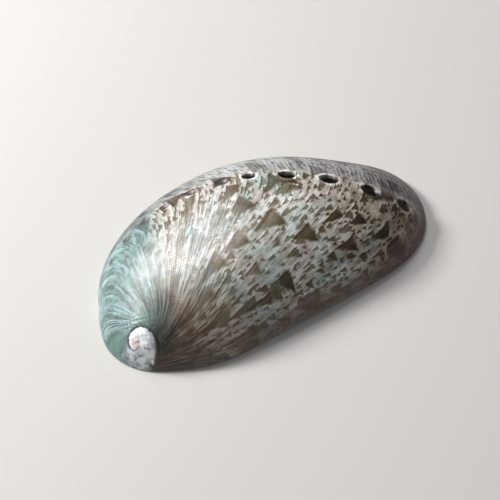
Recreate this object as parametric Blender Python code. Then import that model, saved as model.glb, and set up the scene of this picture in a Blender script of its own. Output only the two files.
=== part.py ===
"""Abalone shell: one grown piece, a low ear-shaped bowl with a small spiral spire at the back right.

Metres, Z up. X runs from the spire end to the front end, Y towards the side with the breathing holes.
The shell rests mouth down on the flat underside of its left and rear margin, which is the plane z = 0;
the lip on the right side is arched a little clear of the ground. The origin is in the middle of the
footprint. The lengths below are millimetres and are scaled once, in place().
"""

import bmesh
import bpy
import numpy as np

MM = 0.001

# Rim seen from above, clockwise from the front tip: along the right lip, round the spire end, back on the left.
RIM = [
    (43.8, -8.4), (40.4, -16.5), (33.2, -21.1), (22.5, -23.0), (6.6, -23.6), (-8.9, -23.9),
    (-22.6, -23.1), (-33.1, -19.3), (-40.4, -14.4), (-43.8, -7.6), (-42.0, 1.8), (-37.4, 10.5),
    (-27.7, 18.6), (-13.4, 23.2), (4.5, 23.2), (21.1, 17.0), (33.8, 8.2), (41.7, 0.3),
]
CROWN = (-0.2, -1.1)
HEIGHT = 17.5

# Wall, lip and the flat shelf that the inner lip forms under the left and rear margin.
WALL = 1.25
CROWN_WALL = 1.5
LIP_ARCH = 2.4
SHELF = 4.2
SHELF_THICKNESS = 1.2
EDGE_ROUND = 0.45

# Two spirals about the apex of the spire: the row of holes, and the suture between the whorls.
APEX = (-37.7, -11.7)
ROW_RADIUS = 73.2
ROW_GROWTH = 0.835
FRONT_STRETCH = 0.035
SUTURE_RADIUS = 6.2
SUTURE_FROM = np.radians(285)
COIL_GROWTH = 0.30
SPIRE_RISE = 2.1
SPIRE_RADIUS = 5.0
WHORL_SWELL = 0.13
SUTURE_DEPTH = 0.11
ROW_RIDGE = 0.45
SIDE_GROOVE = 0.40

# Breathing holes, from the newest back: direction seen from the apex in degrees, and length along the row.
OPEN_HOLES = ((0.7, 4.7), (5.7, 4.8), (12.5, 4.9), (20.2, 4.5), (28.3, 3.6))
SEALED_HOLES = ((34.5, 3.1), (43.3, 2.8), (51.7, 2.6), (59.3, 2.4), (68.9, 2.2), (79.2, 2.0))
HOLE_ROUNDNESS = 0.66
DIMPLE_DEPTH = 0.12

# Mesh: spokes about the crown, rings over the outside, round the margin and over the inside.
THINNEST_FACET = 0.05
SPOKES = 96
OUTER_RINGS = 25
MARGIN_RINGS = 7
INNER_RINGS = 12


def closed_curve(points, samples):
    """Smooth closed curve through the points: a periodic cubic spline with chord-length knots."""
    p = np.array(points, float)
    n = len(p)
    span = np.hypot(*(np.roll(p, -1, 0) - p).T)
    knot = np.concatenate([[0.0], np.cumsum(span)])
    system = np.zeros((n, n))
    side = np.zeros((n, 2))
    for i in range(n):
        before, after = span[i - 1], span[i]
        system[i, (i - 1) % n] += after
        system[i, i] += 2.0 * (before + after)
        system[i, (i + 1) % n] += before
        side[i] = 3.0 * (after * (p[i] - p[i - 1]) / before + before * (p[(i + 1) % n] - p[i]) / after)
    slope = np.linalg.solve(system, side)
    u = np.linspace(0.0, knot[-1], samples, endpoint=False)
    k = np.clip(np.searchsorted(knot, u, side="right") - 1, 0, n - 1)
    h = span[k][:, None]
    s = ((u - knot[k]) / span[k])[:, None]
    a, b = p[k], p[(k + 1) % n]
    ta, tb = slope[k] * h, slope[(k + 1) % n] * h
    start = (2 * s**3 - 3 * s**2 + 1) * a + (s**3 - 2 * s**2 + s) * ta
    return start + (3 * s**2 - 2 * s**3) * b + (s**3 - s**2) * tb


def smooth(low, high, value):
    """0 below low, 1 above high, an even ease between them."""
    t = np.clip((value - low) / (high - low), 0.0, 1.0)
    return t * t * (3.0 - 2.0 * t)


def rim_table():
    """Distance from the crown to the rim, against direction, over three turns for plain interpolation."""
    offset = closed_curve(RIM, 2880) - np.array(CROWN)
    direction = np.arctan2(offset[:, 1], offset[:, 0])
    distance = np.hypot(offset[:, 0], offset[:, 1])
    order = np.argsort(direction)
    direction, distance = direction[order], distance[order]
    turns = np.concatenate([direction - 2 * np.pi, direction, direction + 2 * np.pi])
    return turns, np.tile(distance, 3)


TURNS, REACH = rim_table()


def reach(direction):
    """Distance from the crown to the rim in a direction."""
    return np.interp(direction, TURNS, REACH)


def slant(direction):
    """How much longer a step along the spoke is than the same step square to the rim."""
    step = 0.01
    change = (reach(direction + step) - reach(direction - step)) / (2 * step)
    return np.sqrt(1.0 + (change / reach(direction)) ** 2)


def arch(direction):
    """Height of the margin over the ground: only the right lip is lifted."""
    away = np.abs(np.angle(np.exp(1j * (direction + np.radians(85)))))
    return LIP_ARCH * np.cos(np.minimum(1.3 * away, np.pi / 2)) ** 1.5


def fall(direction, rho):
    """Share of the crown height left at the fraction rho of the way to the rim."""
    power = 2.3 + 0.25 * np.sin(direction) - 0.05 * np.cos(direction)
    bluntness = 0.74 - 0.07 * np.sin(direction) - 0.05 * np.cos(2 * direction)
    return np.maximum(1.0 - rho**power, 0.0) ** bluntness


def row_radius(angle):
    """Radius of the spiral of the hole row at an angle about the apex, counted back from the front tip."""
    stretch = 1.0 + FRONT_STRETCH * np.exp(-np.maximum(angle, 0.0) / 0.07)
    return ROW_RADIUS * stretch * np.exp(-ROW_GROWTH * angle)


def suture_radius(angle):
    """Radius of the spiral of the suture, from its newest end at the right lip inwards."""
    return SUTURE_RADIUS * np.exp(-COIL_GROWTH * (angle - SUTURE_FROM))


def relief(x, y, rho):
    """Spire with its whorls and suture, hole-row shoulder and the furrow outside it, added to the plain dome."""
    dx, dy = x - APEX[0], y - APEX[1]
    r = np.hypot(dx, dy) + 1e-6
    angle = np.arctan2(dy, dx)
    spire = SPIRE_RISE * np.exp(-((r / SPIRE_RADIUS) ** 2))
    back = np.mod(angle - SUTURE_FROM, 2 * np.pi) + SUTURE_FROM
    newest = smooth(0.0, 0.6, back - SUTURE_FROM)
    outer, inner = suture_radius(back), suture_radius(back + 2 * np.pi)
    across = np.clip((r - inner) / (outer - inner), 0.0, 1.0)
    swell = WHORL_SWELL * (outer - inner) * np.sin(np.pi * across) * newest
    suture = SUTURE_DEPTH * outer * np.exp(-(((r - outer) / (0.12 + 0.12 * outer)) ** 2)) * newest
    suture = suture + SUTURE_DEPTH * inner * np.exp(-(((r - inner) / (0.12 + 0.20 * inner)) ** 2))
    off = r * np.log(r / row_radius(angle)) / np.sqrt(1.0 + ROW_GROWTH**2)
    along = smooth(-0.16, 0.02, angle) * (1.0 - smooth(1.5, 2.0, angle))
    shoulder = ROW_RIDGE * np.exp(-((off / 1.8) ** 2)) - SIDE_GROOVE * np.exp(-(((off - 4.0) / 1.6) ** 2))
    edge = smooth(0.0, 0.10, 1.0 - rho)
    return edge * (spire + swell - suture + along * shoulder)


def outside(direction, rho):
    """Point of the outer face on a spoke."""
    r = reach(direction) * rho
    x = CROWN[0] + r * np.cos(direction)
    y = CROWN[1] + r * np.sin(direction)
    foot = arch(direction) * rho**4 + EDGE_ROUND
    z = foot + (HEIGHT - foot) * fall(direction, rho) + relief(x, y, rho)
    return x, y, z


def inside(direction, rho):
    """Point of the inner face on a spoke: the dome again, one wall further in."""
    r = (reach(direction) - WALL * slant(direction)) * rho
    foot = arch(direction) * rho**4 + SHELF_THICKNESS
    z = foot + (HEIGHT - CROWN_WALL - foot) * fall(direction, rho)
    return CROWN[0] + r * np.cos(direction), CROWN[1] + r * np.sin(direction), z


def shelf_width(direction):
    """Width of the margin's underside: the bare lip on the right, the shelf on the left and at the rear."""
    turn = np.mod(direction + np.radians(40), 2 * np.pi) - np.radians(40)
    share = smooth(np.radians(10), np.radians(150), turn) * (1.0 - smooth(np.radians(188), np.radians(226), turn))
    return WALL + SHELF * share


def margin(direction, step):
    """Point of the section round the margin: rounded outer edge, flat underside, rounded inner edge."""
    width = shelf_width(direction)
    inward = np.choose(step, [0.13, 0.42, width - 0.45, width - 0.12, width, width - 0.10,
                              WALL + 0.35 * (width - WALL)])
    lift = np.choose(step, [0.13, 0.0, 0.0, 0.16, 0.50, 0.92, SHELF_THICKNESS - 0.02])
    r = reach(direction) - inward * slant(direction)
    return CROWN[0] + r * np.cos(direction), CROWN[1] + r * np.sin(direction), arch(direction) + lift


def spoke_directions():
    """Directions of the spokes: even, but several times as close over the spire."""
    fine = np.linspace(-np.pi, np.pi, 7201)
    centre = np.arctan2(APEX[1] - CROWN[1], APEX[0] - CROWN[0])
    away = np.abs(np.angle(np.exp(1j * (fine - centre))))
    density = 1.0 + 4.5 * np.exp(-((away / 0.20) ** 2))
    total = np.concatenate([[0.0], np.cumsum(0.5 * (density[1:] + density[:-1]))])
    return np.interp(np.arange(SPOKES) / SPOKES * total[-1], total, fine)


def outer_fractions():
    """Fractions of the way to the rim at which the outer rings lie: closest on the steep wall and the spire."""
    fine = np.linspace(0.0, 0.5 * np.pi, 2001)
    density = 1.0 + 1.8 * np.exp(-(((fine - 1.13) / 0.17) ** 2))
    total = np.concatenate([[0.0], np.cumsum(0.5 * (density[1:] + density[:-1]))])
    return np.sin(np.interp(np.arange(OUTER_RINGS + 1) / OUTER_RINGS * total[-1], total, fine))


def place(direction, ring):
    """Position of ring number ring, counted from the outer crown round to the inner crown."""
    if ring <= OUTER_RINGS:
        point = outside(direction, FRACTIONS[ring])
    elif ring <= OUTER_RINGS + MARGIN_RINGS:
        point = margin(direction, ring - OUTER_RINGS - 1)
    else:
        left = OUTER_RINGS + MARGIN_RINGS + INNER_RINGS + 1 - ring
        point = inside(direction, np.sin(0.5 * np.pi * left / INNER_RINGS))
    return tuple(float(c) * MM for c in point)


FRACTIONS = outer_fractions()


def add_object(name, collection):
    """Empty mesh object in a collection."""
    item = bpy.data.objects.new(name, bpy.data.meshes.new(name))
    collection.objects.link(item)
    return item


def add_cutter(name, place_at, size, collection):
    """Rounded cutter: a ball pressed to the three half-sizes, turned about Z."""
    x, y, z, turn = place_at
    mesh = bmesh.new()
    bmesh.ops.create_uvsphere(mesh, u_segments=20, v_segments=8, radius=1.0)
    cos, sin = np.cos(turn), np.sin(turn)
    for vertex in mesh.verts:
        a, b, c = vertex.co.x * size[0], vertex.co.y * size[1], vertex.co.z * size[2]
        vertex.co = ((x + a * cos - b * sin) * MM, (y + a * sin + b * cos) * MM, (z + c) * MM)
    item = add_object(name, collection)
    mesh.to_mesh(item.data)
    mesh.free()
    item.hide_render = True
    item.display_type = "WIRE"
    return item


def cut(target, cutter):
    """Subtract a cutter with an exact Boolean."""
    step = target.modifiers.new(cutter.name, "BOOLEAN")
    step.operation = "DIFFERENCE"
    step.solver = "EXACT"
    step.object = cutter


def settle(item):
    """Fix the cuts in the mesh, drop the hair-thin facets that they leave, and shade it round."""
    graph = bpy.context.evaluated_depsgraph_get()
    solid = bpy.data.meshes.new_from_object(item.evaluated_get(graph))
    mesh = bmesh.new()
    mesh.from_mesh(solid)
    bmesh.ops.dissolve_degenerate(mesh, dist=THINNEST_FACET * MM, edges=mesh.edges[:])
    bmesh.ops.triangulate(mesh, faces=mesh.faces[:])
    mesh.to_mesh(solid)
    mesh.free()
    solid.shade_smooth()
    solid.set_sharp_from_angle(angle=np.radians(40))
    item.modifiers.clear()
    item.data = solid


def on_row(degrees):
    """Plan position on the hole row, height of the outer face there, and the heading of the row."""
    angle = np.radians(degrees)
    r = row_radius(angle)
    x, y = APEX[0] + r * np.cos(angle), APEX[1] + r * np.sin(angle)
    dx, dy = x - CROWN[0], y - CROWN[1]
    direction = np.arctan2(dy, dx)
    z = outside(direction, np.hypot(dx, dy) / reach(direction))[2]
    heading = angle + np.pi / 2 + np.arctan(ROW_GROWTH)
    return x, y, z, heading


for old in list(bpy.data.objects):
    bpy.data.objects.remove(old, do_unlink=True)

shell_parts = bpy.data.collections.new("abalone_shell")
cutters = bpy.data.collections.new("cutters")
bpy.context.scene.collection.children.link(shell_parts)
bpy.context.scene.collection.children.link(cutters)
cutters.hide_render = True

# The shell starts as a ball: its upper half becomes the outer face, its lower half is pushed up as the inner face.
rings = OUTER_RINGS + MARGIN_RINGS + INNER_RINGS + 1
body = bmesh.new()
bmesh.ops.create_uvsphere(body, u_segments=SPOKES, v_segments=rings, radius=1.0)
directions = spoke_directions()
for vertex in body.verts:
    ring = int(round(float(np.arccos(np.clip(vertex.co.z, -1.0, 1.0))) / np.pi * rings))
    spoke = int(round((np.arctan2(vertex.co.y, vertex.co.x) + np.pi) / (2 * np.pi) * SPOKES)) % SPOKES
    vertex.co = place(directions[spoke], ring)
bmesh.ops.triangulate(body, faces=body.faces[:], quad_method="SHORT_EDGE")

shell = add_object("shell", shell_parts)
body.to_mesh(shell.data)
body.free()

pearl = bpy.data.materials.new("shell_lime")
pearl.use_nodes = True
surface = pearl.node_tree.nodes["Principled BSDF"]
surface.inputs["Base Color"].default_value = (0.42, 0.43, 0.36, 1.0)
surface.inputs["Roughness"].default_value = 0.3
shell.data.materials.append(pearl)

# Breathing holes: open ones go through the wall, sealed ones are only dimples in the outer face.
for number, (degrees, length) in enumerate(OPEN_HOLES):
    x, y, z, heading = on_row(degrees)
    size = (length / 2, length / 2 * HOLE_ROUNDNESS, 6.0)
    cut(shell, add_cutter("open_hole_%d" % (number + 1), (x, y, z, heading), size, cutters))
for number, (degrees, length) in enumerate(SEALED_HOLES):
    x, y, z, heading = on_row(degrees)
    size = (length / 2, length / 2 * HOLE_ROUNDNESS, 0.9)
    depth = DIMPLE_DEPTH * length
    cut(shell, add_cutter("sealed_hole_%d" % (number + 1), (x, y, z + size[2] - depth, heading), size, cutters))
settle(shell)
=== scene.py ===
from math import cos, radians, sin

import bmesh
import bpy
import numpy as np
from mathutils import Matrix, Vector
from mathutils.kdtree import KDTree


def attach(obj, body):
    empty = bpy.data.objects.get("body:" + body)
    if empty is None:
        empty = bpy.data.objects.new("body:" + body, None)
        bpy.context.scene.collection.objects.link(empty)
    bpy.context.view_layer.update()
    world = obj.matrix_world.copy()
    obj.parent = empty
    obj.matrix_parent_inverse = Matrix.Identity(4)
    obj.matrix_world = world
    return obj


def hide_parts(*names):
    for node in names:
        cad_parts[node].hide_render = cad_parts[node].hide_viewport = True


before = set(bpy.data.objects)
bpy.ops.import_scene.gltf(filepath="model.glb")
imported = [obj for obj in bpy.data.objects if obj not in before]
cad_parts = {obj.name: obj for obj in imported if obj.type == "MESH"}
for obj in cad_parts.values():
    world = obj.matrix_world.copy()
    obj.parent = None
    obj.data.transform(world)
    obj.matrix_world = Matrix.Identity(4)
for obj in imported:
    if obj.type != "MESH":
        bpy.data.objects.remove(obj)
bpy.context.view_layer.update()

# An abalone shell, resting mouth down: a pigmented, semi-gloss outside and mother of pearl inside.
# X runs from the spire end to the front end, Y towards the hole row, Z up. Shape values are in
# millimetres and become metres when the mesh is filled in.

MM = 0.001

# Form of the shell
RIM = [
    (43.8, -8.4), (40.4, -16.5), (33.2, -21.1), (22.5, -23.0), (6.6, -23.6), (-8.9, -23.9),
    (-22.6, -23.1), (-33.1, -19.3), (-40.4, -14.4), (-43.8, -7.6), (-42.0, 1.8), (-37.4, 10.5),
    (-27.7, 18.6), (-13.4, 23.2), (4.5, 23.2), (21.1, 17.0), (33.8, 8.2), (41.7, 0.3),
]
CROWN = (-0.2, -1.1)
HEIGHT = 17.5
WALL = 1.25
CROWN_WALL = 1.5
LIP_ARCH = 2.4
SHELF = 4.2
SHELF_THICKNESS = 1.2
EDGE_ROUND = 0.45

# Two spirals about the apex of the spire: the row of holes, and the suture between the whorls
APEX = (-37.7, -11.7)
ROW_RADIUS = 73.2
ROW_GROWTH = 0.835
FRONT_STRETCH = 0.035
SUTURE_RADIUS = 6.2
SUTURE_FROM = radians(285)
COIL_GROWTH = 0.30
SPIRE_RISE = 2.1
SPIRE_RADIUS = 5.0
WHORL_SWELL = 0.13
SUTURE_DEPTH = 0.11
ROW_RIDGE = 0.45
ROW_RIDGE_WIDTH = 1.8
SIDE_GROOVE = 0.40
SIDE_GROOVE_PLACE = 4.0
SIDE_GROOVE_WIDTH = 1.6
CORD_HEIGHT = 0.09
CORD_SPACING = 2.1
WEAR_DEPTH = 0.07

# Breathing holes, from the newest back: direction seen from the apex in degrees, and length along the row
OPEN_HOLES = ((0.7, 4.7), (5.7, 4.8), (12.5, 4.9), (20.2, 4.5), (28.3, 3.6))
SEALED_HOLES = ((34.5, 3.6), (43.3, 3.3), (51.7, 3.0), (59.3, 2.7), (68.9, 2.4), (79.2, 2.1))
HOLE_ROUNDNESS = 0.66
HOLE_FLARE = 0.30
HOLE_POINTEDNESS = 0.40
HOLE_SKEW = 0.25
COLLAR_HEIGHT = 0.20
DIMPLE_DEPTH = 0.42
KNOB_RISE = 0.40

# Growth: direction from the apex of the lip's left end, and length along the lip of one unit of the chart
LIP_END = radians(11.7)
CHART_LENGTH = 100.0

# Zones of the markings: the green side's slanting border, and the line about which the white crest lies,
# whose paleness is partly a painted highlight
GREEN_BORDER = -23.4
GREEN_LEAN = 0.28
CREST_START = (-9.0, 3.0)
CREST_RUN = (-13.0, -5.0)
CREST_WIDTH = 7.2

# Fineness of the mesh
SPOKES = 440
OUTER_RINGS = 130
MARGIN_RINGS = 14
INNER_RINGS = 44

# Camera: 65 degrees above the floor, on the right lip's side. Lengths are in millimetres.
VIEW_TURN = -28.5
VIEW_HEIGHT = 65.0
VIEW_DISTANCE = 300.0
VIEW_TARGET = (-2.3, -2.6, 6.0)
VIEW_WIDTH = 122.85
SENSOR_WIDTH = 36.0

# Floor, in metres: half its side, and the gap that keeps its face off the shell's
FLOOR_HALF = 1.5
FLOOR_GAP = 0.00003


def srgb(code):
    """Linear colour of an sRGB hex code."""
    parts = [int(code[i:i + 2], 16) / 255 for i in (1, 3, 5)]
    return [c / 12.92 if c <= 0.04045 else ((c + 0.055) / 1.055) ** 2.4 for c in parts] + [1.0]


def add(tree, kind, *sources, result=0, stops=(), **settings):
    """Adds a node and gives back one of its outputs, the first unless result names another.

    The sources fill its inputs in order, or by name as (name, source). A source is another node's
    output or a plain value. A second word in kind is the node's operation, and the stops of a
    colour ramp are places with their hex codes.
    """
    kind, _, operation = kind.partition(" ")
    item = tree.nodes.new("ShaderNode" + kind)
    if operation:
        item.operation = operation
    for name, value in settings.items():
        setattr(item, name, value)
    # A new colour ramp has two stops already
    for place, code in stops[2:]:
        item.color_ramp.elements.new(place)
    for number, (place, code) in enumerate(stops):
        item.color_ramp.elements[number].position = place
        item.color_ramp.elements[number].color = srgb(code)
    for place, source in enumerate(sources):
        if isinstance(source, tuple) and isinstance(source[0], str):
            place, source = source
        if isinstance(source, bpy.types.NodeSocket):
            tree.links.new(source, item.inputs[place])
        elif source is not None:
            item.inputs[place].default_value = source
    return item.outputs[result]


# Shape of the shell

def smooth(low, high, value):
    """0 below low, 1 above high, an even ease between them."""
    t = np.clip((value - low) / (high - low), 0.0, 1.0)
    return t * t * (3.0 - 2.0 * t)


def closed_curve(points, samples):
    """Smooth closed curve through the points: a periodic cubic spline with chord-length knots."""
    p = np.array(points, float)
    n = len(p)
    span = np.hypot(*(np.roll(p, -1, 0) - p).T)
    knot = np.concatenate([[0.0], np.cumsum(span)])
    system = np.zeros((n, n))
    side = np.zeros((n, 2))
    for i in range(n):
        before, after = span[i - 1], span[i]
        system[i, (i - 1) % n] += after
        system[i, i] += 2.0 * (before + after)
        system[i, (i + 1) % n] += before
        side[i] = 3.0 * (after * (p[i] - p[i - 1]) / before + before * (p[(i + 1) % n] - p[i]) / after)
    slope = np.linalg.solve(system, side)
    u = np.linspace(0.0, knot[-1], samples, endpoint=False)
    k = np.clip(np.searchsorted(knot, u, side="right") - 1, 0, n - 1)
    h = span[k][:, None]
    s = ((u - knot[k]) / span[k])[:, None]
    a, b = p[k], p[(k + 1) % n]
    ta, tb = slope[k] * h, slope[(k + 1) % n] * h
    start = (2 * s**3 - 3 * s**2 + 1) * a + (s**3 - 2 * s**2 + s) * ta
    return start + (3 * s**2 - 2 * s**3) * b + (s**3 - s**2) * tb


OUTLINE = closed_curve(RIM, 2880)


def rim_table():
    """Distance from the crown to the rim, against direction, over three turns for plain interpolation."""
    offset = OUTLINE - np.array(CROWN)
    direction = np.arctan2(offset[:, 1], offset[:, 0])
    distance = np.hypot(offset[:, 0], offset[:, 1])
    order = np.argsort(direction)
    direction, distance = direction[order], distance[order]
    turns = np.concatenate([direction - 2 * np.pi, direction, direction + 2 * np.pi])
    return turns, np.tile(distance, 3)


TURNS, REACH = rim_table()


def reach(direction):
    """Distance from the crown to the rim in a direction."""
    return np.interp(direction, TURNS, REACH)


def from_crown(x, y):
    """Direction from the crown, and the fraction of the way to the rim."""
    direction = np.arctan2(y - CROWN[1], x - CROWN[0])
    return direction, np.hypot(x - CROWN[0], y - CROWN[1]) / reach(direction)


def from_apex(x, y):
    """Distance from the apex and direction about it."""
    dx, dy = x - APEX[0], y - APEX[1]
    return np.hypot(dx, dy) + 1e-6, np.arctan2(dy, dx)


def slant(direction):
    """How much longer a step along the spoke is than the same step square to the rim."""
    step = 0.01
    change = (reach(direction + step) - reach(direction - step)) / (2 * step)
    return np.sqrt(1.0 + (change / reach(direction)) ** 2)


def arch(direction):
    """Height of the margin over the ground: only the right lip is lifted, most at its middle."""
    middle = radians(-85)
    away = np.abs(np.angle(np.exp(1j * (direction - middle))))
    return LIP_ARCH * np.cos(np.minimum(1.3 * away, np.pi / 2)) ** 1.5


def fall(direction, rho):
    """Share of the crown height left at the fraction rho of the way to the rim."""
    power = 2.3 + 0.25 * np.sin(direction) - 0.05 * np.cos(direction)
    bluntness = 0.74 - 0.07 * np.sin(direction) - 0.05 * np.cos(2 * direction)
    return np.maximum(1.0 - rho**power, 0.0) ** bluntness


def row_radius(angle):
    """Radius of the spiral of the hole row at an angle about the apex, counted back from the front tip."""
    stretch = 1.0 + FRONT_STRETCH * np.exp(-np.maximum(angle, 0.0) / 0.07)
    return ROW_RADIUS * stretch * np.exp(-ROW_GROWTH * angle)


def suture_radius(angle):
    """Radius of the spiral of the suture, from its newest end at the right lip inwards."""
    return SUTURE_RADIUS * np.exp(-COIL_GROWTH * (angle - SUTURE_FROM))


def newest_suture(angle):
    """Angle along the suture's outermost turn, for a direction about the apex."""
    return np.mod(angle - SUTURE_FROM, 2 * np.pi) + SUTURE_FROM


def off_row(x, y):
    """Signed distance from the line of the hole row, positive towards the left rim."""
    r, angle = from_apex(x, y)
    return r * np.log(r / row_radius(angle)) / np.sqrt(1.0 + ROW_GROWTH**2)


def beside_row(x, y):
    """1 along the stretch of the row that carries holes, easing to 0 past both of its ends."""
    angle = from_apex(x, y)[1]
    return smooth(-0.16, 0.02, angle) * (1.0 - smooth(1.5, 2.0, angle))


def row_place(degrees_back):
    """Plan position on the hole row and the row's heading there."""
    angle = radians(degrees_back)
    r = row_radius(angle)
    return APEX[0] + r * cos(angle), APEX[1] + r * sin(angle), angle + np.pi / 2 + np.arctan(ROW_GROWTH)


def in_hole_frame(x, y, hole):
    """Position in the frame of a hole: along the row and across it, in units of the hole's half-sizes."""
    hx, hy, heading = row_place(hole[0])
    along = ((x - hx) * cos(heading) + (y - hy) * sin(heading)) / (hole[1] / 2)
    across = ((y - hy) * cos(heading) - (x - hx) * sin(heading)) / (hole[1] / 2 * HOLE_ROUNDNESS)
    return along, across


def near_open_hole(x, y):
    """Distance from the nearest open hole's middle, in units of its half-size: 1 on its edge."""
    return np.min([np.hypot(*in_hole_frame(x, y, hole)) for hole in OPEN_HOLES], axis=0)


def sealed_hollow(x, y):
    """Share of the sealed holes' bowls at each point, 0 to 1, and share of the plugs that fill them."""
    bowl = np.zeros_like(x)
    knob = np.zeros_like(x)
    for hole in SEALED_HOLES:
        along, across = in_hole_frame(x, y, hole)
        size = hole[1] / SEALED_HOLES[0][1]
        bowl = np.maximum(bowl, size * smooth(0.0, 0.6, 1.2 - np.hypot(along, across)))
        knob = np.maximum(knob, size * np.exp(-(((along + 0.40) / 0.30) ** 2) - ((across / 0.48) ** 2)))
    return bowl, knob


def relief(x, y, rho):
    """Spire with its whorls and suture, hole-row shoulder, furrow, cords, collars and sealed holes."""
    r, angle = from_apex(x, y)
    back = newest_suture(angle)
    newest = smooth(0.0, 0.6, back - SUTURE_FROM)
    spire = SPIRE_RISE * np.exp(-((r / SPIRE_RADIUS) ** 2))
    outer, inner = suture_radius(back), suture_radius(back + 2 * np.pi)
    core = suture_radius(back + 4 * np.pi)
    across = np.clip((r - inner) / (outer - inner), 0.0, 1.0)
    deeper = np.clip((r - core) / (inner - core), 0.0, 1.0)
    swell = WHORL_SWELL * (outer - inner) * np.sin(np.pi * across) * newest
    swell = swell + WHORL_SWELL * (inner - core) * np.sin(np.pi * deeper)
    suture = SUTURE_DEPTH * outer * np.exp(-(((r - outer) / (0.10 + 0.10 * outer)) ** 2)) * newest
    suture = suture + SUTURE_DEPTH * inner * np.exp(-(((r - inner) / (0.08 + 0.14 * inner)) ** 2))
    off = off_row(x, y)
    shoulder = ROW_RIDGE * np.exp(-((off / ROW_RIDGE_WIDTH) ** 2))
    shoulder = shoulder - SIDE_GROOVE * np.exp(-(((off - SIDE_GROOVE_PLACE) / SIDE_GROOVE_WIDTH) ** 2))
    cords = CORD_HEIGHT * np.sin(off * 2 * np.pi / CORD_SPACING) * smooth(4.5, 6.0, off)
    collar = COLLAR_HEIGHT * np.exp(-(((near_open_hole(x, y) - 1.18) / 0.28) ** 2))
    bowl, knob = sealed_hollow(x, y)
    worn = np.sin(4.6 * x + 1.9 * y) * np.sin(3.9 * y - 2.3 * x)
    worn = WEAR_DEPTH * worn * (1.0 - smooth(4.0, 7.5, r))
    edge = smooth(0.0, 0.10, 1.0 - rho)
    marks = beside_row(x, y) * (shoulder + cords)
    return edge * (spire + swell - suture + worn + marks + collar - DIMPLE_DEPTH * bowl + KNOB_RISE * knob)


def outside(direction, rho):
    """Points of the outer face on the spokes."""
    r = reach(direction) * rho
    x = CROWN[0] + r * np.cos(direction)
    y = CROWN[1] + r * np.sin(direction)
    foot = arch(direction) * rho**4 + EDGE_ROUND
    return x, y, foot + (HEIGHT - foot) * fall(direction, rho) + relief(x, y, rho)


def inside(direction, rho):
    """Points of the inner face on the spokes: the dome again, one wall further in."""
    r = (reach(direction) - WALL * slant(direction)) * rho
    foot = arch(direction) * rho**4 + SHELF_THICKNESS
    z = foot + (HEIGHT - CROWN_WALL - foot) * fall(direction, rho)
    return CROWN[0] + r * np.cos(direction), CROWN[1] + r * np.sin(direction), z


def shelf_width(direction):
    """Width of the margin's underside: the bare lip on the right, the shelf on the left and at the rear."""
    turn = np.mod(direction + radians(40), 2 * np.pi) - radians(40)
    share = smooth(radians(10), radians(150), turn) * (1.0 - smooth(radians(188), radians(226), turn))
    return WALL + SHELF * share


def margin(direction, share):
    """Points of the section round the margin: rounded outer edge, flat underside, rounded inner edge."""
    width = shelf_width(direction)
    start = np.zeros_like(width)
    steps = np.array([0.0, 0.07, 0.14, 0.22, 0.32, 0.5, 0.68, 0.78, 0.86, 0.93, 1.0])
    inward = np.array([start, start + 0.04, start + 0.15, start + 0.42, 0.126 + 0.3 * width, 0.5 * width,
                       width - 0.45, width - 0.14, width, width - 0.06, 0.65 * WALL + 0.35 * width])
    lift = np.array([EDGE_ROUND, 0.22, 0.07, 0.0, 0.0, 0.0, 0.0, 0.13, 0.50, 0.90, SHELF_THICKNESS - 0.02])
    k = np.clip(np.searchsorted(steps, share) - 1, 0, len(steps) - 2)
    part = (share - steps[k]) / (steps[k + 1] - steps[k])
    spoke = np.arange(len(direction))
    r = reach(direction) - ((1 - part) * inward[k, spoke] + part * inward[k + 1, spoke]) * slant(direction)
    z = arch(direction) + (1 - part) * lift[k] + part * lift[k + 1]
    return CROWN[0] + r * np.cos(direction), CROWN[1] + r * np.sin(direction), z


def eased_steps(count, start, stop, centre, extra, width):
    """count steps from start to stop, closer together about centre."""
    fine = np.linspace(start, stop, 7201)
    density = 1.0 + extra * np.exp(-(((fine - centre) / width) ** 2))
    total = np.concatenate([[0.0], np.cumsum(0.5 * (density[1:] + density[:-1]))])
    return np.interp(np.arange(count + 1) / count * total[-1], total, fine)


# Growth coordinates of the outer face: how long ago a point grew, and how far along the lip of that time

def growth_family():
    """The family of old lips, as plan positions about the apex, and the length of each.

    Each old lip is the present one, shrunk and turned so that it runs from the suture to the rim.
    """
    offset = (OUTLINE[:, 0] - APEX[0]) + 1j * (OUTLINE[:, 1] - APEX[1])
    turn = np.mod(np.angle(offset), 2 * np.pi)
    left = np.argsort(turn)
    rim_turn, rim_radius = turn[left], np.abs(offset[left])

    def left_end(age):
        way = LIP_END + age
        on_rim = np.interp(np.minimum(way, SUTURE_FROM), rim_turn, rim_radius)
        share = smooth(SUTURE_FROM - 0.6, SUTURE_FROM, way)
        return ((1 - share) * on_rim + share * suture_radius(way)) * np.exp(1j * way)

    def right_end(age):
        return suture_radius(SUTURE_FROM + age) * np.exp(1j * (SUTURE_FROM + age))

    right = offset[(np.angle(offset) > radians(-70)) & (np.angle(offset) < radians(30))]
    right = right[np.argsort(np.angle(right))]
    start, end = right_end(0.0), left_end(0.0)
    lip = np.concatenate([[start], right])
    length = np.concatenate([[0.0], np.cumsum(np.abs(np.diff(lip)))])
    whole = np.interp(LIP_END, np.angle(right), length[1:])
    shape = (lip - start) / (end - start)
    share = length / whole

    def point(age, along):
        bent = np.interp(along, share, shape.real) + 1j * np.interp(along, share, shape.imag)
        return right_end(age) + (left_end(age) - right_end(age)) * bent

    def lip_length(age):
        return np.abs(left_end(age) - right_end(age)) * whole / abs(end - start)

    return point, lip_length


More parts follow.
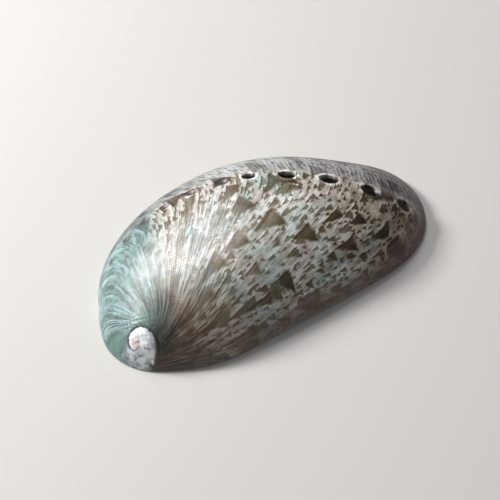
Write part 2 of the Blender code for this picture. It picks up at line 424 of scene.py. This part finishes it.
def growth_coordinates(x, y):
    """Age, share of the way along the lip of that age, and the same in millimetres.

    The age is the turn in radians back from the present lip. It and the share start from the nearest
    point of a net laid over the family, and four steps along the family's slopes bring them home.
    """
    point, lip_length = growth_family()
    ages, alongs = np.meshgrid(np.linspace(-0.12, 11.0, 900), np.linspace(0.0, 1.12, 150), indexing="ij")
    ages, alongs = ages.ravel(), alongs.ravel()
    tree = KDTree(len(ages))
    for index, place in enumerate(point(ages, alongs)):
        tree.insert((place.real, place.imag, 0.0), index)
    tree.balance()
    target = (x - APEX[0]) + 1j * (y - APEX[1])
    nearest = np.array([tree.find((t.real, t.imag, 0.0))[1] for t in target])
    age, along = ages[nearest], alongs[nearest]
    for _ in range(4):
        miss = target - point(age, along)
        d_age = (point(age + 0.002, along) - point(age - 0.002, along)) / 0.004
        d_along = (point(age, along + 0.002) - point(age, along - 0.002)) / 0.004
        det = d_age.real * d_along.imag - d_age.imag * d_along.real
        det = np.where(np.abs(det) < 1e-3, np.inf, det)
        age = age + np.clip((miss.real * d_along.imag - miss.imag * d_along.real) / det, -0.02, 0.02)
        along = along + np.clip((d_age.real * miss.imag - d_age.imag * miss.real) / det, -0.02, 0.02)
    return age, along, along * lip_length(age)


def growth_relief(x, y, rho):
    """Low waves of the growth lines and 26 faint spiral cords across them, in millimetres.

    Midway along the lip the waves are about 4, 2.5 and 14 mm apart. The real shell has finer lines
    between them, a few tenths of a millimetre apart, which are too fine to show.
    """
    age, share, along = growth_coordinates(x, y)
    waves = 0.030 * np.sin(58 * age + 2.0 * np.sin(9 * age))
    waves = waves + 0.026 * np.sin(97 * age + 3.0 * np.sin(5 * age + 1))
    waves = waves + 0.05 * np.sin(17 * age + 1.5 * np.sin(4 * age))
    cords = 0.028 * np.sin(2 * np.pi * 26 * share + 1.2 * np.sin(7 * share))
    spread = np.clip(from_apex(x, y)[0] / 50.0, 0.0, 1.0) * smooth(3.0, 24.0, along)
    return smooth(0.0, 0.12, 1.0 - rho) * spread * (waves + cords)


# Making the shell's mesh

def shell_skin():
    """Ball whose rings become the outer face, the margin and the inner face.

    Mother of pearl starts on the margin's underside, and the faces from there inwards get that finish.
    """
    rings = OUTER_RINGS + MARGIN_RINGS + INNER_RINGS + 1
    ball = bmesh.new()
    bmesh.ops.create_uvsphere(ball, u_segments=SPOKES, v_segments=rings, radius=1.0)
    mesh = bpy.data.meshes.new("shell_skin")
    ball.to_mesh(mesh)
    ball.free()
    place = np.empty(len(mesh.vertices) * 3, np.float32)
    mesh.vertices.foreach_get("co", place)
    place = place.reshape(-1, 3).astype(float)
    ring = np.rint(np.arccos(np.clip(place[:, 2], -1, 1)) / np.pi * rings).astype(int)
    turn = np.arctan2(place[:, 1], place[:, 0]) + np.pi
    spoke = np.rint(turn / (2 * np.pi) * SPOKES).astype(int) % SPOKES
    # Spokes and rings lie closest at the spire
    spire_way = np.arctan2(APEX[1] - CROWN[1], APEX[0] - CROWN[0])
    direction = eased_steps(SPOKES, -np.pi, np.pi, centre=spire_way, extra=2.2, width=0.28)[:-1]
    outer = np.sin(eased_steps(OUTER_RINGS, 0.0, np.pi / 2, centre=1.10, extra=0.9, width=0.20))
    inner = np.sin(np.linspace(0.0, np.pi / 2, INNER_RINGS + 1))
    grid = np.zeros((rings + 1, SPOKES, 3))
    for number in range(rings + 1):
        if number <= OUTER_RINGS:
            point = outside(direction, outer[number] + 0 * direction)
        elif number <= OUTER_RINGS + MARGIN_RINGS:
            point = margin(direction, (number - OUTER_RINGS) / MARGIN_RINGS + 0 * direction)
        else:
            point = inside(direction, inner[rings - number] + 0 * direction)
        grid[number] = np.transpose(point)
    above = grid[1:OUTER_RINGS, :, :]
    rho = np.repeat(outer[1:OUTER_RINGS], SPOKES)
    above[:, :, 2] += growth_relief(above[:, :, 0].ravel(), above[:, :, 1].ravel(), rho).reshape(-1, SPOKES)
    grid[0, :, 2] = above[0, :, 2].mean()
    place = grid[ring, spoke] * MM
    mesh.vertices.foreach_set("co", place.astype(np.float32).ravel())
    corner = np.empty(len(mesh.loops), np.int32)
    mesh.loops.foreach_get("vertex_index", corner)
    first = np.empty(len(mesh.polygons), np.int32)
    mesh.polygons.foreach_get("loop_start", first)
    lip_ring = OUTER_RINGS + 4
    pearly = (np.maximum.reduceat(ring[corner], first) > lip_ring).astype(np.int32)
    mesh.polygons.foreach_set("material_index", pearly)
    mesh.update()
    return mesh


def surface_at(x, y):
    """Height of the outer face over a plan position, and its outward normal there."""
    def height(px, py):
        return float(outside(*from_crown(px, py))[2])
    step = 1.2
    slope_x = (height(x + step, y) - height(x - step, y)) / (2 * step)
    slope_y = (height(x, y + step) - height(x, y - step)) / (2 * step)
    return height(x, y), Vector((-slope_x, -slope_y, 1.0)).normalized()


def hole_plug(hole):
    """Waisted oval plug for a breathing hole, flared where it meets both faces of the wall."""
    x, y, heading = row_place(hole[0])
    z, normal = surface_at(x, y)
    rings = 22
    half_depth = 2.6
    waist = -0.62
    waist_to_face = 0.85
    plug = bmesh.new()
    bmesh.ops.create_uvsphere(plug, u_segments=48, v_segments=rings, radius=1.0)
    for vertex in plug.verts:
        # The two poles become the middles of the flat ends
        if abs(vertex.co.z) > 0.999:
            vertex.co = (0.0, 0.0, half_depth if vertex.co.z > 0 else -half_depth)
            continue
        ring = float(np.arccos(vertex.co.z)) / np.pi * rings
        depth = (rings / 2 - ring) / (rings / 2 - 1) * half_depth
        flare = HOLE_FLARE * min(abs(depth - waist) / waist_to_face, 2.2) ** 2.2
        way = np.arctan2(vertex.co.y, vertex.co.x)
        half_length = hole[1] / 2 + flare
        half_width = hole[1] / 2 * HOLE_ROUNDNESS - 0.05 + flare
        side = half_width * sin(way) * abs(sin(way)) ** HOLE_POINTEDNESS
        vertex.co = (half_length * cos(way) + HOLE_SKEW * side, side, depth)
    side = Vector((cos(heading), sin(heading), 0.0))
    side = (side - normal * side.dot(normal)).normalized()
    turned = Matrix((side, normal.cross(side), normal)).transposed().to_4x4()
    placed = Matrix.Translation(Vector((x, y, z)) * MM) @ turned @ Matrix.Scale(MM, 4)
    bmesh.ops.transform(plug, matrix=placed, verts=plug.verts[:])
    bmesh.ops.recalc_face_normals(plug, faces=plug.faces[:])
    mesh = bpy.data.meshes.new("hole_plug")
    plug.to_mesh(mesh)
    plug.free()
    item = bpy.data.objects.new("hole_plug", mesh)
    bpy.context.scene.collection.objects.link(item)
    return item


def pierce(shell, plugs):
    """Cuts the plugs out of the shell, makes the cuts part of its mesh and removes the plugs."""
    for plug in plugs:
        step = shell.modifiers.new("breathing_hole", "BOOLEAN")
        step.operation = "DIFFERENCE"
        step.solver = "EXACT"
        step.object = plug
    graph = bpy.context.evaluated_depsgraph_get()
    pierced = bpy.data.meshes.new_from_object(shell.evaluated_get(graph))
    shell.modifiers.clear()
    shell.data = pierced
    for plug in plugs:
        bpy.data.objects.remove(plug, do_unlink=True)


def stain(mesh):
    """Gives every point its growth coordinates as a UV map, and its zones as colour attributes."""
    count = len(mesh.vertices)
    place = np.empty(count * 3, np.float32)
    mesh.vertices.foreach_get("co", place)
    x, y = (place.reshape(-1, 3)[:, :2].astype(float) / MM).T
    age, share, along = growth_coordinates(x, y)
    corner = np.empty(len(mesh.loops), np.int32)
    mesh.loops.foreach_get("vertex_index", corner)
    chart = mesh.uv_layers.new(name="growth")
    growth = np.column_stack([age[corner], along[corner] / CHART_LENGTH])
    chart.data.foreach_set("uv", growth.astype(np.float32).ravel())

    # Spire, the patch behind it, the strip beyond the holes, the worn rear, and the suture's groove, which is
    # darkened as painted shade
    r, angle = from_apex(x, y)
    back = newest_suture(angle)
    direction, rho = from_crown(x, y)
    newest = smooth(0.5, 1.5, back - SUTURE_FROM)
    spire = 1.0 - smooth(0.80 + 0.16 * newest, 0.90 + 0.16 * newest, r / suture_radius(back))
    behind = smooth(radians(268), radians(284), np.mod(angle, 2 * np.pi))
    behind = behind * smooth(radians(150), radians(180), age) * (1.0 - spire) * smooth(3.0, 5.5, r)
    off = off_row(x, y)
    strip = smooth(0.0, 3.4, off) * beside_row(x, y)
    rear = 0.85 * smooth(radians(170), radians(255), age) * (1.0 - behind) * (1.0 - strip)
    turns = np.array([suture_radius(back + 2 * np.pi * n) for n in (0, 1, 2)])
    suture_shade = np.max(np.exp(-(((r - turns) / (0.10 + 0.05 * turns)) ** 2)), axis=0)
    suture_shade = suture_shade * np.maximum(smooth(0.3, 1.4, back - SUTURE_FROM), r < 3.0)

    # The right lip's edge, reddened and darkened as a painted red reflection and painted shade, the foot of
    # the rest of the margin, the spire's tip and the holes
    from_rim = reach(direction) * (1 - rho)
    right_side = np.clip(np.cos(direction + radians(50)) * 1.6, 0, 1)
    lip = np.exp(-((from_rim / 3.0) ** 2)) * right_side
    foot = np.exp(-from_rim / 0.6) * (1.0 - right_side)
    tip = np.exp(-((r / 1.1) ** 2))
    # The sealed holes' bowls are darkened later as painted shade in their hollows
    bowl, knob = sealed_hollow(x, y)
    # The open holes' pale collars are partly a painted highlight
    collar = np.exp(-(((near_open_hole(x, y) - 1.10) / 0.20) ** 2))

    # The green side, the white crest, whose paleness is partly a painted highlight, the front, darker partly
    # as painted shade, and the fan of brown streaks at the lip's old end
    mint = smooth(3.0, -6.0, x - GREEN_BORDER - GREEN_LEAN * y)
    mint = mint * smooth(radians(5), radians(60), age) * (1.0 - behind)
    # The crest's paleness is partly a painted highlight
    run_x, run_y = CREST_RUN
    crest_x = x - CREST_START[0]
    crest_y = y - CREST_START[1]
    t = np.clip((crest_x * run_x + crest_y * run_y) / (run_x**2 + run_y**2), 0, 1)
    pale_crest_and_highlight = np.exp(-((np.hypot(crest_x - run_x * t, crest_y - run_y * t) / CREST_WIDTH) ** 2))
    # The front darkens towards the front end and along the right lip, partly as its brown and partly as
    # painted shade
    front_brown_and_shade = np.clip(smooth(8, 38, x) + 0.20 * np.exp(-from_rim / 3.5) * right_side, 0.0, 1.0)
    fan_reach = 15.0 + 7.0 * smooth(radians(55), radians(10), age)
    fan = np.exp(-((along / fan_reach) ** 2)) * (1.0 - smooth(radians(60), radians(115), age))
    fan = np.maximum(fan, behind)
    foot = np.maximum(foot * (1.0 - mint), 0.5 * strip * smooth(5.0, -15.0, x))
    mint = mint * (1.0 - 0.5 * fan)
    # The green side's rim is pale, as the holes' collars are
    collar = np.maximum(collar, 0.45 * mint * np.exp(-((from_rim / 4.5) ** 2)) * smooth(7.0, 11.0, r))
    # Each attribute holds three zones, in the order in which the pigmented finish takes them up
    layers = (("zones", (mint, pale_crest_and_highlight, front_brown_and_shade)), ("traits", (np.maximum(spire, rear), lip, strip)),
              ("pits", (bowl, knob, collar)), ("streaks", (fan, suture_shade, share)), ("ends", (tip, foot, spire)))
    for name, values in layers:
        data = np.ones((count, 4), np.float32)
        data[:, :3] = np.column_stack(values)
        mesh.attributes.new(name, "FLOAT_COLOR", "POINT").data.foreach_set("color", data.ravel())


def make_shell(outer, inner):
    """The whole shell as one piece: skin, holes, growth coordinates and its two finishes."""
    shell = bpy.data.objects.new("abalone_shell", shell_skin())
    bpy.context.scene.collection.objects.link(shell)
    shell.data.materials.append(outer)
    shell.data.materials.append(inner)
    pierce(shell, [hole_plug(hole) for hole in OPEN_HOLES])
    stain(shell.data)
    shell.data.shade_smooth()
    shell.data.set_sharp_from_angle(angle=radians(50))
    return shell


# Finishes

def pigment_marks(tree, age, along, width, length, share, seed, deepening):
    """Wedges of pigment in growth coordinates, about width by length millimetres in size.

    Each has a straight side with a thin dark edge where the deposit set in, a square top, and a slanting
    lower side where it faded out. From the edge to the far corner its darkness changes by deepening.
    Gives back the darkness, and the pale band that comes before the wedge.
    """
    # Cells of growth: u counts millimetres of growth, v those along the lip, closer at its right end.
    # One radian of age is taken as so many millimetres of growth as the place along the lip, at least 30.
    least_growth = 30.0
    middle_age = 0.6
    crowding = 20.0
    cell = (1.25 * width, 0.98 * length, 0.0)
    shift = (40.0 + 17.3 * seed, 40.0 + 17.3 * seed, 0.0)
    lever = add(tree, "Math MAXIMUM", along, least_growth)
    u = add(tree, "Math MULTIPLY", add(tree, "Math SUBTRACT", age, middle_age), lever)
    squared = add(tree, "Math MULTIPLY", along, along)
    v = add(tree, "Math DIVIDE", squared, add(tree, "Math ADD", along, crowding))
    spot = add(tree, "VectorMath DIVIDE", add(tree, "CombineXYZ", u, v, 0.0), cell)
    spot = add(tree, "VectorMath ADD", spot, shift)
    cells = add(tree, "TexVoronoi", ("Vector", spot), ("Scale", 1.0), ("Randomness", 0.9),
                voronoi_dimensions="2D").node.outputs
    chance = add(tree, "SeparateColor", cells["Color"]).node.outputs
    centre = add(tree, "VectorMath SUBTRACT", cells["Position"], shift)
    centre = add(tree, "SeparateXYZ", add(tree, "VectorMath MULTIPLY", centre, cell)).node.outputs
    # Age and place along the lip of the wedge's own middle
    v0 = add(tree, "Math MAXIMUM", centre[1], 0.2)
    root = add(tree, "Math MULTIPLY", v0, add(tree, "Math ADD", v0, 4 * crowding))
    root = add(tree, "Math SQRT", root)
    along0 = add(tree, "Math MULTIPLY", add(tree, "Math ADD", v0, root), 0.5)
    age0 = add(tree, "Math DIVIDE", centre[0], add(tree, "Math MAXIMUM", along0, least_growth))
    age0 = add(tree, "Math ADD", age0, middle_age)

    # Place in the wedge: across from its older side, down from its top
    own_width = add(tree, "Math MULTIPLY_ADD", chance[0], 0.6 * width, 0.4 * width)
    own_length = add(tree, "Math MULTIPLY_ADD", chance[1], 0.5 * length, 0.5 * length)
    longer = add(tree, "Math ADD", along0, crowding)
    stretch = add(tree, "Math DIVIDE", longer, add(tree, "Math ADD", along0, 2.0))
    own_length = add(tree, "Math MULTIPLY", own_length, stretch)
    across = add(tree, "Math MULTIPLY", add(tree, "Math SUBTRACT", age0, age), lever)
    across = add(tree, "Math MULTIPLY_ADD", add(tree, "Math DIVIDE", across, own_width), 1.1, 0.35)
    down = add(tree, "Math DIVIDE", add(tree, "Math SUBTRACT", along0, along), own_length)
    down = add(tree, "Math ADD", down, 0.35)
    younger = add(tree, "Math SUBTRACT", 1.0, add(tree, "Math ADD", across, down))

    eased = {"interpolation_type": "SMOOTHSTEP"}
    present = add(tree, "Math LESS_THAN", chance[2], share)
    older_side = add(tree, "MapRange", across, -0.05, 0.05, 0.0, 1.0, **eased)
    below_top = add(tree, "MapRange", down, -0.06, 0.10, 0.0, 1.0, **eased)
    before_slant = add(tree, "MapRange", younger, -0.04, 0.16, 0.0, 1.0, **eased)
    wedge = add(tree, "Math MULTIPLY", add(tree, "Math MULTIPLY", older_side, below_top), before_slant)
    first_edge = add(tree, "MapRange", across, 0.20, 0.03, 0.0, 0.28, **eased)
    depth = add(tree, "Math MULTIPLY_ADD", across, deepening, 0.72 - 0.3 * deepening)
    depth = add(tree, "Math ADD", depth, first_edge)
    depth = add(tree, "Math MULTIPLY_ADD", chance[1], -0.25, depth)
    darkness = add(tree, "Math MULTIPLY", add(tree, "Math MULTIPLY", wedge, depth), present)
    before = add(tree, "MapRange", across, -0.45, -0.04, 0.0, 1.0, **eased)
    before = add(tree, "Math MULTIPLY", before, add(tree, "Math SUBTRACT", 1.0, older_side))
    off_middle = add(tree, "Math ABSOLUTE", add(tree, "Math SUBTRACT", down, 0.40))
    beside = add(tree, "MapRange", off_middle, 0.62, 0.25, 0.0, 1.0, **eased)
    pale_band = add(tree, "Math MULTIPLY", add(tree, "Math MULTIPLY", before, beside), present)
    return darkness, pale_band


def pigmented_shell():
    """Outer shell lime: calcite prisms, with pigment that was laid down as the shell grew.

    To the eye it is a cloudy, semi-gloss skin whose marks lie in it and not on it. Its colour also holds
    painted shade, a painted red reflection and painted highlights.
    """
    material = bpy.data.materials.new("pigmented_shell_lime")
    material.use_nodes = True
    tree = material.node_tree
    surface = tree.nodes["Principled BSDF"]

    parts = []
    for name in ("zones", "traits", "pits", "streaks", "ends"):
        zones = add(tree, "Attribute", attribute_name=name)
        parts.extend(add(tree, "SeparateColor", zones).node.outputs[:3])
    mint, pale_crest_and_highlight, front_brown_and_shade, bare, lip, strip, bowl, knob, collar, fan, suture_shade, share, tip, foot, spire = parts
    body = add(tree, "TexCoord", result="Object")
    chart = add(tree, "UVMap", uv_map="growth")
    chart_age, chart_along = add(tree, "SeparateXYZ", chart).node.outputs[:2]

    # The wedges' edges waver by a few tenths of a millimetre
    waver = add(tree, "TexNoise", ("Vector", body), ("Scale", 1 / (2.38 * MM)), ("Detail", 3.0))
    waver = add(tree, "Math SUBTRACT", waver, 0.5)
    age = add(tree, "Math MULTIPLY_ADD", waver, 0.014, chart_age)
    along = add(tree, "Math MULTIPLY", chart_along, CHART_LENGTH)
    along = add(tree, "Math MULTIPLY_ADD", waver, 1.8, along)
    # Wedges in four sizes: width and length, share of the cells that hold one, seed and deepening
    dark, glow = pigment_marks(tree, age, along, 5.6, 7.4, 0.95, 3, 0.45)
    dark = add(tree, "Math MULTIPLY", dark, 1.2)
    for sizes in ((1.1, 1.7, 0.66, 1, -0.35), (1.5, 2.2, 0.60, 4, -0.25), (2.4, 3.4, 0.62, 2, 0.10)):
        wedge, pale_band = pigment_marks(tree, age, along, *sizes)
        dark = add(tree, "Math MAXIMUM", dark, wedge)
        glow = add(tree, "Math MAXIMUM", glow, pale_band)

    # Growth lines: fine streaks that follow each old lip, 0.5 to 1 mm apart, and broader ones. The real
    # ones are a few tenths of a millimetre apart and are drawn this coarse to show.
    lines = add(tree, "VectorMath MULTIPLY", chart, (85.0, 5.0, 0.0))
    streaks = add(tree, "TexNoise", ("Vector", lines), ("Scale", 1.0), ("Detail", 5.0), ("Roughness", 0.75))
    broad = add(tree, "VectorMath MULTIPLY_ADD", chart, (24.0, 3.0, 0.0), (0.0, 0.0, 7.0))
    bands = add(tree, "TexNoise", ("Vector", broad), ("Scale", 1.0), ("Detail", 4.0), ("Roughness", 0.65))
    flecks = add(tree, "VectorMath MULTIPLY_ADD", chart, (52.0, 42.0, 0.0), (0.0, 0.0, 3.0))
    mottle = add(tree, "TexNoise", ("Vector", flecks), ("Scale", 1.0), ("Detail", 4.0), ("Roughness", 0.7))
    # Clouds of tone 7 mm across, patches of hue 6 mm across, and the worn skin's chips, 1.6 mm across
    cloud = add(tree, "TexNoise", ("Vector", body), ("Scale", 1 / (6.67 * MM)), ("Detail", 4.0),
                ("Roughness", 0.6))
    hues = add(tree, "TexNoise", ("Vector", body), ("Scale", 1 / (5.88 * MM)), ("Detail", 3.0))
    chips = add(tree, "TexNoise", ("Vector", body), ("Scale", 1 / (1.5625 * MM)), ("Detail", 3.0),
                ("Distortion", 0.6))

    # Beads of the white crest, whose paleness is partly a painted highlight: growth lines 0.75 mm apart,
    # crossed by spiral lines 0.7 mm apart
    threads = add(tree, "Math MULTIPLY_ADD", cloud, 14.0, add(tree, "Math MULTIPLY", chart_age, 277.0))
    threads = add(tree, "Math SINE", threads)
    rounds = add(tree, "Math MULTIPLY_ADD", cloud, 16.0, add(tree, "Math MULTIPLY", share, 390.0))
    in_patches = add(tree, "MapRange", hues, 0.44, 0.62)
    rounds = add(tree, "Math MULTIPLY", add(tree, "Math SINE", rounds), in_patches)
    beads = add(tree, "Math MULTIPLY", add(tree, "Math ADD", threads, rounds), pale_crest_and_highlight)
    # Curling veins of the green side, 3 to 5 mm apart
    curl = add(tree, "TexNoise", ("Vector", body), ("Scale", 1 / (4.76 * MM)), ("Detail", 3.0),
               ("Distortion", 1.2))
    veins = add(tree, "Math ABSOLUTE", add(tree, "Math SUBTRACT", curl, 0.5))
    veins = add(tree, "Math MULTIPLY", add(tree, "MapRange", veins, 0.0, 0.07, 1.0, 0.0), mint)
    # Slanting hatch of the strip beyond the holes, 0.9 mm apart
    slants = add(tree, "Math MULTIPLY_ADD", cloud, 16.0, add(tree, "Math MULTIPLY", chart_age, 420.0))
    slants = add(tree, "Math MULTIPLY", add(tree, "Math SINE", slants), strip)

    # Tone from black pigment, 0, to bare lime, 1. Most patterns vary about 0.5. The strip, the green side
    # and the fan are calmer than the rest.
    calm = add(tree, "Math MAXIMUM", add(tree, "Math MAXIMUM", strip, mint), fan)
    calm = add(tree, "Math MULTIPLY_ADD", calm, -0.45, 1.0)
    mottled = add(tree, "Math MULTIPLY", add(tree, "Math SUBTRACT", mottle, 0.5), calm)
    belted = add(tree, "Math MULTIPLY", add(tree, "Math SUBTRACT", bands, 0.5), calm)
    tone = 0.425
    # The pale crest's lift in tone is partly a painted highlight
    for pattern, amount in ((cloud, 0.55), (mottled, 1.10), (belted, 0.55), (pale_crest_and_highlight, 0.09)):
        tone = add(tree, "Math MULTIPLY_ADD", pattern, amount, tone)
    tone = add(tree, "Mix", ("Factor", add(tree, "Math MULTIPLY", glow, 0.42)), ("A", tone), ("B", 0.92))
    dark = add(tree, "Math MULTIPLY", dark, calm)
    # The wedges thin out on the pale crest, partly a painted highlight, and along the right lip, under its
    # painted shade and red reflection
    for zone, amount in ((pale_crest_and_highlight, -0.60), (fan, -0.45), (lip, -0.70)):
        dark = add(tree, "Math MULTIPLY", dark, add(tree, "Math MULTIPLY_ADD", zone, amount, 1.0))
    tone = add(tree, "Mix", ("Factor", dark), ("A", tone), ("B", 0.07))
    streaked = add(tree, "Math MULTIPLY", add(tree, "Math MULTIPLY_ADD", dark, -0.7, 1.0), calm)
    smoothed = add(tree, "Math MULTIPLY_ADD", add(tree, "Math MAXIMUM", mint, fan), -0.5, 1.0)
    streaked = add(tree, "Math MULTIPLY", streaked, smoothed)
    streaked = add(tree, "Math MULTIPLY", add(tree, "Math SUBTRACT", streaks, 0.5), streaked)
    banded = add(tree, "Math MULTIPLY", add(tree, "Math SUBTRACT", bands, 0.5), fan)
    # The front's darkening is partly painted shade
    steps = ((streaked, 0.60), (beads, 0.07), (mint, -0.34), (veins, 0.14), (slants, 0.10), (front_brown_and_shade, -0.22),
             (strip, -0.03), (fan, -0.02), (add(tree, "Math MULTIPLY", fan, fan), -0.47), (banded, 1.1))
    for pattern, amount in steps:
        tone = add(tree, "Math MULTIPLY_ADD", pattern, amount, tone)
    # The spire and the worn rear have lost their pigment and are chalky
    chalky = -1.05
    for pattern, amount in ((mottle, 0.7), (chips, 2.2), (cloud, 0.6), (spire, 0.20)):
        chalky = add(tree, "Math MULTIPLY_ADD", pattern, amount, chalky)
    tone = add(tree, "Mix", ("Factor", bare), ("A", tone), ("B", chalky))
    # Painted shade darkens the suture's groove, the sealed holes' bowls and the right lip, and a painted
    # highlight partly pales the open holes' collars
    steps = ((tip, 0.35), (suture_shade, -0.60), (bowl, -0.70), (knob, 0.75), (collar, 0.30), (lip, -0.16),
             (foot, -0.32))
    for pattern, amount in steps:
        tone = add(tree, "Math MULTIPLY_ADD", pattern, amount, tone)

    # Each hue of lime has its own ramp from pigment to bare, and they are laid over the olive one by zone
    olive = add(tree, "ValToRGB", tone, stops=(
        (0.0, "#20180e"), (0.20, "#4b4129"), (0.45, "#807a66"), (0.70, "#b2b2a9"), (1.0, "#eef1ef")))
    rosy = add(tree, "ValToRGB", tone, stops=(
        (0.0, "#26170f"), (0.20, "#544133"), (0.45, "#8a7b72"), (0.70, "#b9b0ae"), (1.0, "#f1edef")))
    umber = add(tree, "ValToRGB", tone, stops=(
        (0.0, "#25150e"), (0.20, "#4c372b"), (0.45, "#816e60"), (0.70, "#b3a89c"), (1.0, "#f0ebe4")))
    sea = add(tree, "ValToRGB", tone, stops=(
        (0.0, "#354340"), (0.25, "#657a78"), (0.50, "#88a1a2"), (0.75, "#b1cacc"), (1.0, "#e2f0f3")))
    slate = add(tree, "ValToRGB", tone, stops=(
        (0.0, "#26252a"), (0.25, "#56565b"), (0.50, "#848688"), (0.75, "#b1b4b6"), (1.0, "#e9ebee")))
    chalk = add(tree, "ValToRGB", tone, stops=(
        (0.0, "#40384a"), (0.30, "#84808f"), (0.60, "#c9ced6"), (0.85, "#eef3f6"), (1.0, "#fdffff")))
    pink_patches = add(tree, "MapRange", hues, 0.48, 0.64, 0.0, 0.80)
    green_patches = add(tree, "MapRange", hues, 0.46, 0.34, 0.0, 0.40)
    brown = add(tree, "Math MULTIPLY", add(tree, "Math MAXIMUM", fan, front_brown_and_shade), 0.75)
    copper = add(tree, "Math MULTIPLY", add(tree, "MapRange", curl, 0.56, 0.66, 0.0, 0.42), mint)
    gold = add(tree, "Math MULTIPLY", add(tree, "MapRange", hues, 0.50, 0.58, 0.0, 0.14), pale_crest_and_highlight)
    layers = (
        (pink_patches, rosy), (green_patches, sea), (brown, umber), (mint, sea), (copper, srgb("#5a8d76")),
        # The strip beyond the holes and the pale crest take slate; the crest's bluish white is partly a
        # painted highlight
        (add(tree, "Math MULTIPLY", strip, 0.70), slate), (add(tree, "Math MULTIPLY", pale_crest_and_highlight, 0.45), slate),
        (bare, chalk), (gold, srgb("#cfc39c")),
        # Red-brown along the right lip: a painted red reflection and painted shade
        (add(tree, "Math MULTIPLY", lip, 0.65), srgb("#4c2f28")),
        # Dark purple-grey in the sealed holes' bowls is painted shade in the hollows
        (add(tree, "Math MULTIPLY", bowl, 0.55), srgb("#433c49")),
        (add(tree, "Math MULTIPLY", knob, 0.70), srgb("#c9b3ad")),
        (add(tree, "Math MULTIPLY", tip, 0.55), srgb("#dba79c")),
    )
    colour = olive
    for cover, over in layers:
        colour = add(tree, "Mix", ("Factor", cover), ("A", colour), ("B", over),
                     data_type="RGBA", result="Result")
    tree.links.new(colour, surface.inputs["Base Color"])

    # Semi-gloss, duller in the pale clouds, with growth lines that stand about 0.1 mm up
    rough = add(tree, "MapRange", cloud, 0.3, 0.7, 0.36, 0.50)
    tree.links.new(rough, surface.inputs["Roughness"])
    surface.inputs["IOR"].default_value = 1.56
    ridges = add(tree, "Math MULTIPLY_ADD", mottle, 0.4, add(tree, "Math MULTIPLY", streaks, 0.6))
    ridges = add(tree, "Math MULTIPLY", ridges, smoothed)
    bump = add(tree, "Bump", ("Strength", 0.6), ("Distance", 0.00012), ("Height", ridges))
    tree.links.new(bump, surface.inputs["Normal"])
    return material


def mother_of_pearl():
    """Mother of pearl: stacked plates of aragonite, grown smooth.

    To the eye it is silvery, and its thin layers give it a pink and green sheen.
    """
    material = bpy.data.materials.new("mother_of_pearl")
    material.use_nodes = True
    tree = material.node_tree
    surface = tree.nodes["Principled BSDF"]
    body = add(tree, "TexCoord", result="Object")
    # Folds of the plates, about 11 mm across
    folds = add(tree, "TexNoise", ("Vector", body), ("Scale", 1 / (11.1 * MM)), ("Detail", 4.0),
                ("Distortion", 0.8))
    sheen = add(tree, "ValToRGB", folds, stops=(
        (0.30, "#b9c9c4"), (0.45, "#d8d6cf"), (0.58, "#d9c3c8"), (0.70, "#c2d3c2")))
    tree.links.new(sheen, surface.inputs["Base Color"])
    surface.inputs["Roughness"].default_value = 0.22
    surface.inputs["IOR"].default_value = 1.6
    surface.inputs["Metallic"].default_value = 0.25
    surface.inputs["Thin Film Thickness"].default_value = 430.0
    surface.inputs["Thin Film IOR"].default_value = 1.4
    waves = add(tree, "Bump", ("Strength", 0.4), ("Distance", 0.0002), ("Height", folds))
    tree.links.new(waves, surface.inputs["Normal"])
    return material


# Studio

def studio():
    """Pale matt floor, a soft key lamp from the far left, two weaker lamps and the camera."""
    sheet = bmesh.new()
    bmesh.ops.create_grid(sheet, x_segments=1, y_segments=1, size=FLOOR_HALF)
    bmesh.ops.translate(sheet, vec=(0.0, 0.0, -FLOOR_GAP), verts=sheet.verts[:])
    mesh = bpy.data.meshes.new("floor")
    sheet.to_mesh(mesh)
    sheet.free()
    floor = bpy.data.objects.new("floor", mesh)
    bpy.context.scene.collection.objects.link(floor)
    # Matt studio paper: loose fibres with no coating, so it spreads the light evenly and doesn't shine
    paper = bpy.data.materials.new("matt_studio_paper")
    paper.use_nodes = True
    surface = paper.node_tree.nodes["Principled BSDF"]
    surface.inputs["Base Color"].default_value = srgb("#cfccc8")
    surface.inputs["Roughness"].default_value = 0.9
    floor.data.materials.append(paper)

    turn, height = radians(VIEW_TURN), radians(VIEW_HEIGHT)
    back = Vector((sin(turn) * cos(height), -cos(turn) * cos(height), sin(height)))
    right = Vector((cos(turn), sin(turn), 0.0))
    up = back.cross(right)
    target = Vector(VIEW_TARGET) * MM

    def lamp(name, side, rise, near, power, size):
        """Square lamp aimed at the target, placed in metres to its right, above it and nearer the eye."""
        light = bpy.data.lights.new(name, "AREA")
        light.energy = power
        light.size = size
        item = bpy.data.objects.new(name, light)
        way = right * side + up * rise + back * near
        item.location = target + way
        item.rotation_mode = "QUATERNION"
        item.rotation_quaternion = way.to_track_quat("Z", "Y")
        bpy.context.scene.collection.objects.link(item)

    lamp("key", side=-0.46, rise=0.30, near=0.25, power=4.2, size=0.14)
    lamp("side", side=-0.20, rise=0.45, near=0.35, power=1.5, size=0.25)
    lamp("fill", side=-0.1, rise=0.1, near=0.8, power=0.8, size=0.5)
    world = bpy.data.worlds.new("studio_air")
    world.use_nodes = True
    air = world.node_tree.nodes["Background"]
    air.inputs["Color"].default_value = srgb("#e8eaee")
    air.inputs["Strength"].default_value = 0.11
    bpy.context.scene.world = world
    # Colours are shown as they are, with no film curve
    bpy.context.scene.view_settings.view_transform = "Standard"

    camera = bpy.data.cameras.new("camera")
    camera.sensor_width = SENSOR_WIDTH
    camera.lens = SENSOR_WIDTH * VIEW_DISTANCE / VIEW_WIDTH
    camera.clip_start = 0.01
    eye = bpy.data.objects.new("camera", camera)
    eye.location = target + back * VIEW_DISTANCE * MM
    eye.rotation_mode = "QUATERNION"
    eye.rotation_quaternion = back.to_track_quat("Z", "Y")
    bpy.context.scene.collection.objects.link(eye)
    bpy.context.scene.camera = eye


studio()
shell = make_shell(pigmented_shell(), mother_of_pearl())
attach(shell, "root")
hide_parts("shell")
